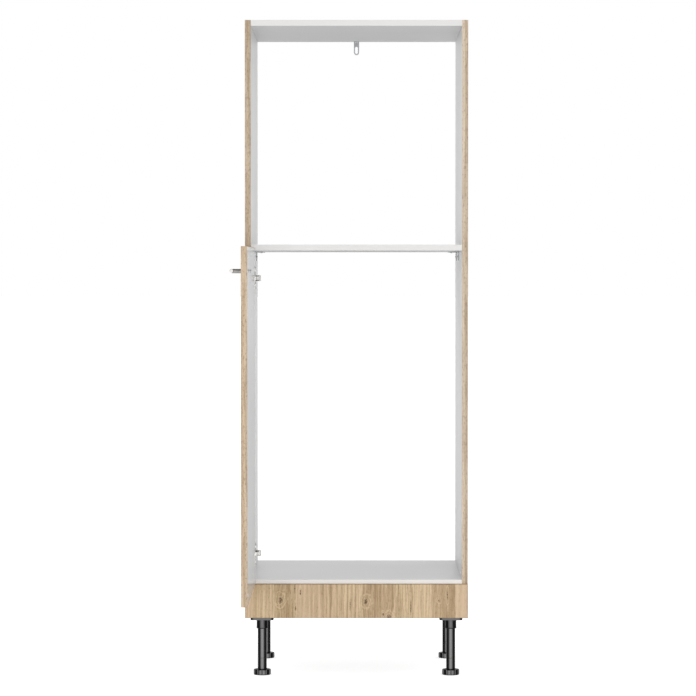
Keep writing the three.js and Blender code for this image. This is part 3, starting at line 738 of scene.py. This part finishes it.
def cut_away(shape, cutters):
    """Cuts other bmeshes out of shape with an exact boolean, which is applied at once."""
    target = bpy.data.objects.new("blank", bpy.data.meshes.new("blank"))
    scene.collection.objects.link(target)
    shape.to_mesh(target.data)
    shape.free()
    tools = []
    for cutter in cutters:
        tool = bpy.data.objects.new("tool", bpy.data.meshes.new("tool"))
        scene.collection.objects.link(tool)
        cutter.to_mesh(tool.data)
        cutter.free()
        tools.append(tool)
        boolean = target.modifiers.new("Cut", "BOOLEAN")
        boolean.operation, boolean.solver, boolean.object = "DIFFERENCE", "EXACT", tool
    bpy.context.view_layer.update()
    evaluated = target.evaluated_get(bpy.context.evaluated_depsgraph_get())
    remaining = bmesh.new()
    remaining.from_mesh(evaluated.data)
    for spent in [target, *tools]:
        spent_mesh = spent.data
        bpy.data.objects.remove(spent)
        bpy.data.meshes.remove(spent_mesh)
    bmesh.ops.remove_doubles(remaining, verts=remaining.verts, dist=2 * merge_distance)
    return remaining


print("helpers: spun, moved, cut_away")

# %% [markdown]
# ## Legs
#
# Each leg is a black moulded socket screwed under the carcass, a tube pushed into its collar, and a foot whose
# stem screws into the tube. The foot's rim is fluted so that fingers can turn it. The socket is wide and
# ribbed underneath, so it keeps its CAD shape with softened edges, and the tube and the foot are turned afresh.


# %% Tube and foot
def leg_tube(node):
    low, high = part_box(node)
    middle = (low + high) / 2
    radius, bore, bore_top = (high.x - low.x) / 2, 8.4 * mm, low.z + 64 * mm
    section = [(bore, bore_top), (bore, low.z), (radius, low.z), (radius, high.z), (0, high.z), (0, bore_top)]
    shape = spun(section + section[:1])
    soften(shape, sharp_edges(shape), 0.5 * mm, 3)
    return moved(shape, Vector((middle.x, middle.y, 0)))


def outside(shape, radius, angle=35):
    """The sharp edges of a turned shape that lie further than radius from its axis."""
    return [e for e in sharp_edges(shape, angle) if all(v.co.xy.length > radius for v in e.verts)]


def leg_foot(node):
    low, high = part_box(node)
    middle = (low + high) / 2
    rim, neck, stem, disc = (high.x - low.x) / 2, 12.2 * mm, 8 * mm, 15 * mm
    neck_top, stem_round = 45.6 * mm, 1 * mm
    body = spun([(0, 0), (rim, 0), (rim, disc), (neck, disc + 1.5 * mm), (neck, neck_top), (0, neck_top)], 96)
    soften(body, outside(body, rim - 0.1 * mm), 2.2 * mm, 5)
    flutes, flute_count, flute_radius = [], 12, 1.9 * mm
    for index in range(flute_count):
        flute = bmesh.new()
        bmesh.ops.create_cone(
            flute, cap_ends=True, segments=20, radius1=flute_radius, radius2=flute_radius, depth=4 * disc,
        )
        angle = index * tau / flute_count
        flutes.append(moved(flute, Vector((cos(angle), sin(angle), 0)) * (rim + 0.2 * mm)))
    body = cut_away(body, flutes)
    soften(body, outside(body, rim - 4 * mm, 30), 0.3 * mm)
    stem_end = [(stem, high.z - stem_round), (stem - stem_round, high.z), (0, high.z)]
    thread = spun([(0, disc), (stem, disc), *stem_end], 48)
    return [moved(shape, Vector((middle.x, middle.y, 0))) for shape in (body, thread)]


corners = [f"{row}_{column}" for row in ("front", "rear") for column in ("left", "right")]
for corner in corners:
    tube_node, foot_node = f"leg_tube_{corner}", f"leg_foot_{corner}"
    finish_piece(f"tube_{corner}", leg_tube(tube_node), [leg_plastic], "carcass", [tube_node])
    foot, thread = leg_foot(foot_node)
    foot_body = body_of(foot_node)
    finish_piece(f"foot_{corner}", foot, [leg_plastic], foot_body, [foot_node])
    finish_piece(f"foot_stem_{corner}", thread, [leg_plastic], foot_body)
print("legs turned:", len(corners))

# %% [markdown]
# ## Pressed and moulded hardware
#
# The hinge parts, the sockets, the brackets and the corner blocks already have their true shape in the CAD
# model. A merged copy of each gets what CAD leaves off: rims that are rounded by a few tenths of a
# millimetre, which catch the light.


# %% Soften the CAD hardware
def softened(node, material, width, segments=2):
    shape = merged_copy(node)
    soften(shape, sharp_edges(shape, 40), width, segments)
    bmesh.ops.remove_doubles(shape, verts=shape.verts, dist=merge_distance)
    return finish_piece(node + "_finished", shape, [material], body_of(node), [node])


for corner in corners:
    softened(f"leg_socket_{corner}", socket_plastic, 0.5 * mm, 3)
for level in ("upper", "lower"):
    softened(f"hinge_plate_{level}", hinge_nickel, 0.35 * mm)
    softened(f"hinge_arm_{level}", hinge_nickel, 0.4 * mm)
    softened(f"hinge_arm_screw_{level}", screw_steel, 0.3 * mm)
    softened(f"hinge_arm_pin_{level}", screw_steel, 0.2 * mm)
    softened(f"hinge_link_{level}", hinge_nickel, 0.3 * mm)
    softened(f"hinge_cup_{level}", hinge_nickel, 0.25 * mm)
    softened(f"hinge_cup_pin_{level}", screw_steel, 0.2 * mm)
    softened(f"door_buffer_{level}", buffer_rubber, 0.5 * mm, 3)
for side in ("left", "right"):
    softened(f"base_block_{side}", block_plastic, 0.5 * mm, 3)
    for row in ("front", "rear"):
        softened(f"shelf_bracket_{side}_{row}", zinc_plate, 0.25 * mm)
softened("wall_bracket", zinc_plate, 0.25 * mm)
print("hardware softened")

# %% [markdown]
# ## The handle
#
# A round bar lies in the saddles of two posts, and each post is held by a screw through the door. The bar is
# turned here, because its ends catch the light. Posts and screws are softened copies of their CAD nodes.

# %% Bar, posts and screws
bar_low, bar_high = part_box("handle_bar")
bar_middle, bar_radius = (bar_low + bar_high) / 2, 5 * mm
half_bar = (bar_high.y - bar_low.y) / 2
bar = spun([(0, -half_bar), (bar_radius, -half_bar), (bar_radius, half_bar), (0, half_bar)])
soften(bar, sharp_edges(bar), 1.0 * mm, 4)
upright_to_y = Matrix.Rotation(-pi / 2, 4, "X")
bar = moved(bar, bar_middle, upright_to_y)
finish_piece("bar", bar, [handle_steel], "door", ["handle_bar"])
for end in ("outer", "inner"):
    softened(f"handle_post_{end}", shaded_post_steel, 0.3 * mm)
    softened(f"handle_screw_{end}", screw_steel, 0.4 * mm)
print("handle bar length in mm:", round(2 * half_bar / mm, 1))

# %% [markdown]
# ## Screws
#
# The heads of the fixing screws are small, but they tell how the unit is put together. One head is turned and
# gets its cross recess from two blades that are cut away, and every screw is a copy of that one mesh, turned
# to its own face.

# %% One cross-head screw
def blade(length, width, depth, top):
    cutter = bmesh.new()
    bmesh.ops.create_cube(cutter, size=1.0)
    bmesh.ops.scale(cutter, vec=(length, width, depth), verts=cutter.verts)
    bmesh.ops.translate(cutter, vec=(0, 0, top - depth / 2 + 0.1 * mm), verts=cutter.verts)
    return cutter


head_radius, head_height = 3.6 * mm, 1.7 * mm
rim_to_crown = [(head_radius, 0.5 * mm), (0.8 * head_radius, 1.3 * mm), (0.45 * head_radius, head_height)]
head = spun([(0, 0), (head_radius, 0), *rim_to_crown, (0, head_height)], 32)
soften(head, sharp_edges(head, 50), 0.12 * mm)
cross_length, cross_width, cross_depth = 3.6 * mm, 0.8 * mm, 1.2 * mm
recess = [
    blade(cross_length, cross_width, cross_depth, head_height),
    blade(cross_width, cross_length, cross_depth, head_height),
]
screw_pattern = bpy.data.meshes.new("screw_pattern")
head = cut_away(head, recess)
head.to_mesh(screw_pattern)
head.free()
print("screw head:", len(screw_pattern.polygons), "faces")


# %% Drive the screws
driven = []


def drive(name, place, facing, body, size=1.0):
    shape = bmesh.new()
    shape.from_mesh(screw_pattern)
    bmesh.ops.scale(shape, vec=(size, size, size), verts=shape.verts)
    turn = Vector((0, 0, 1)).rotation_difference(Vector(facing)).to_matrix().to_4x4()
    driven.append(finish_piece(name, moved(shape, Vector(place), turn), [screw_steel], body))


right, left, down, back = (1, 0, 0), (-1, 0, 0), (0, 0, -1), (0, 1, 0)
plate_step, plate_setback, plate_sheet, cup_step = 16 * mm, 15 * mm, 2 * mm, 26 * mm
socket_step, socket_sheet, angle_step, angle_sheet = 22 * mm, 3 * mm, 15 * mm, 2 * mm
for level in ("upper", "lower"):
    plate_low, plate_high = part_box(f"hinge_plate_{level}")
    cup_low, cup_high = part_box(f"hinge_cup_{level}")
    middle = (plate_low.z + plate_high.z) / 2
    for step, word in ((-1, "below"), (1, "above")):
        seat = (plate_low.x + plate_sheet, plate_low.y + plate_setback, middle + step * plate_step)
        drive(f"plate_screw_{level}_{word}", seat, right, "carcass", 1.05)
        seat = (cup_high.x, (cup_low.y + cup_high.y) / 2, middle + step * cup_step)
        drive(f"cup_screw_{level}_{word}", seat, right, "door", 0.95)
for corner in corners:
    socket_low, socket_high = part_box(f"leg_socket_{corner}")
    centre = (socket_low + socket_high) / 2
    for index, (x, y) in enumerate(((-1, -1), (1, -1), (1, 1), (-1, 1))):
        seat = (centre.x + x * socket_step, centre.y + y * socket_step, socket_high.z - socket_sheet)
        drive(f"leg_screw_{corner}_{index + 1}", seat, down, "carcass")
wall_low, wall_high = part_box("wall_bracket")
for setback, word in ((30 * mm, "front"), (14 * mm, "rear")):
    seat = ((wall_low.x + wall_high.x) / 2, wall_high.y - setback, wall_high.z - angle_sheet)
    drive(f"wall_bracket_screw_{word}", seat, down, "carcass")
for side, inward in (("left", right), ("right", left)):
    block_low, block_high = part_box(f"base_block_{side}")
    seat = ((block_low.x + block_high.x) / 2, block_high.y, (block_low.z + block_high.z) / 2)
    drive(f"base_block_screw_{side}", seat, back, "carcass")
    for row in ("front", "rear"):
        angle_low, angle_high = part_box(f"shelf_bracket_{side}_{row}")
        middle = (angle_low.y + angle_high.y) / 2
        wall = angle_low.x if side == "left" else angle_high.x
        seat = (wall + inward[0] * angle_step, middle, angle_high.z - angle_sheet)
        drive(f"shelf_screw_{side}_{row}", seat, down, "carcass")
        seat = (wall + inward[0] * angle_sheet, middle, angle_high.z - angle_step)
        drive(f"side_screw_{side}_{row}", seat, inward, "carcass")
print("screws driven:", len(driven))

# %% [markdown]
# ## Floor, light and camera
#
# The photograph has a pure white ground with a soft even light. The floor is a huge plain sheet that keeps the
# unit's shadow, and it glows just enough towards the camera to read as white. The world lights the unit
# evenly, and one broad lamp in front makes the front edges a little brighter than the inner faces.
#
# Glossy faces mirror this studio, so reflections get tones of their own: bright front and back walls, duller
# side walls, a dark ceiling, and a narrow dim lane straight behind the unit. The open door mirrors that lane,
# which gives it the soft grey of a real room.

# %% Floor
white = (1, 1, 1, 1)
floor_size, floor_glow, floor_grey = 150.0, 0.74, 0.6
# The lane's half width as a share of its distance, where it fades in metres, and how much it glows there.
lane_edge, lane_depth, lane_glow = (0.055, 0.09), (4.0, 60.0), 0.14
floor_shape = bmesh.new()
bmesh.ops.create_grid(floor_shape, x_segments=1, y_segments=1, size=floor_size)
floor_mesh = bpy.data.meshes.new("studio_floor")
floor_shape.to_mesh(floor_mesh)
floor_shape.free()
floor = bpy.data.objects.new("studio_floor", floor_mesh)
scene.collection.objects.link(floor)
floor_material, tree, shader, where = new_material(
    "studio_floor", Base_Color=(floor_grey, floor_grey, floor_grey, 1), Roughness=0.9,
    Specular_IOR_Level=0.0, Emission_Color=white,
)
seen = add(tree, "LightPath").outputs
spot = add(tree, "SeparateXYZ", {0: where}).outputs
aside = maths(tree, "DIVIDE", maths(tree, "ABSOLUTE", spot["X"]), maths(tree, "MAXIMUM", spot["Y"], 0.1))
lane = maths(tree, "MULTIPLY", between(tree, spot["Y"], *lane_depth), lane_glow)
mirrored = maths(tree, "MAXIMUM", between(tree, aside, *lane_edge), lane)
mirrored = maths(tree, "MULTIPLY", seen["Is Glossy Ray"], mirrored)
glowing = maths(tree, "ADD", seen["Is Camera Ray"], maths(tree, "ADD", mirrored, seen["Is Transmission Ray"]))
glowing = maths(tree, "MULTIPLY", maths(tree, "MINIMUM", glowing, 1.0), floor_glow)
tree.links.new(glowing, shader.inputs["Emission Strength"])
floor_mesh.materials.append(floor_material)
print("floor made,", floor_material.name)

# %% World
world = bpy.data.worlds.new("studio")
scene.world = world
world.use_nodes = True
tree = world.node_tree
background = tree.nodes["Background"]
seen = add(tree, "LightPath").outputs
direction = add(tree, "SeparateXYZ", {0: add(tree, "TexCoord").outputs["Generated"]}).outputs
ambient, ceiling, side_walls, front_wall, back_wall, far_lane = 0.88, 0.4, 0.7, 1.3, 1.04, 0.62
# Each tone fades in between two values of the direction's own X, Y or Z, which run from -1 to 1.
ring = between(tree, direction["Z"], 0.62, 0.28)
forward = between(tree, direction["Y"], -0.75, -0.95)
backward = between(tree, direction["Y"], 0.7, 0.93)
straight_back = between(tree, direction["Y"], 0.9965, 0.9985)
walls = maths(tree, "MULTIPLY_ADD", forward, front_wall - side_walls, side_walls)
walls = maths(tree, "MULTIPLY_ADD", backward, back_wall - side_walls, walls)
walls = maths(tree, "MULTIPLY_ADD", straight_back, far_lane - back_wall, walls)
mirrored = maths(tree, "MULTIPLY_ADD", ring, maths(tree, "SUBTRACT", walls, ceiling), ceiling)
through = maths(tree, "ADD", seen["Is Camera Ray"], seen["Is Transmission Ray"])
level = maths(tree, "MULTIPLY_ADD", through, 1.0 - ambient, ambient)
level = maths(tree, "MULTIPLY_ADD", seen["Is Glossy Ray"], maths(tree, "SUBTRACT", mirrored, ambient), level)
tree.links.new(level, background.inputs["Strength"])
background.inputs["Color"].default_value = white
print("ambient level", ambient, "and back wall", back_wall)

# %% Lamp
lamp_width, lamp_height, lamp_power = 1.6, 0.9, 36.0
lamp_data = bpy.data.lights.new("front_lamp", "AREA")
lamp_data.shape, lamp_data.size, lamp_data.size_y = "RECTANGLE", lamp_width, lamp_height
lamp_data.energy = lamp_power
lamp = bpy.data.objects.new("front_lamp", lamp_data)
scene.collection.objects.link(lamp)
lamp.location = (-0.1, -3.6, 0.55)
lamp.rotation_euler = (radians(90), 0, 0)
lamp.visible_camera = lamp.visible_glossy = False
print("front lamp:", lamp_power, "W")

# %% Camera
focal_length, tilt_down, turn_left = 156.1, 1.362, 0.161
camera_data = bpy.data.cameras.new("camera")
camera_data.sensor_width, camera_data.lens = 36.0, focal_length
camera = bpy.data.objects.new("camera", camera_data)
scene.collection.objects.link(camera)
camera.location = (0.010, -8.096, 1.082)
camera.rotation_euler = (radians(90 - tilt_down), 0, radians(turn_left))
scene.camera = camera
scene.view_settings.view_transform = "Standard"
print("camera at", tuple(round(v, 3) for v in camera.location))
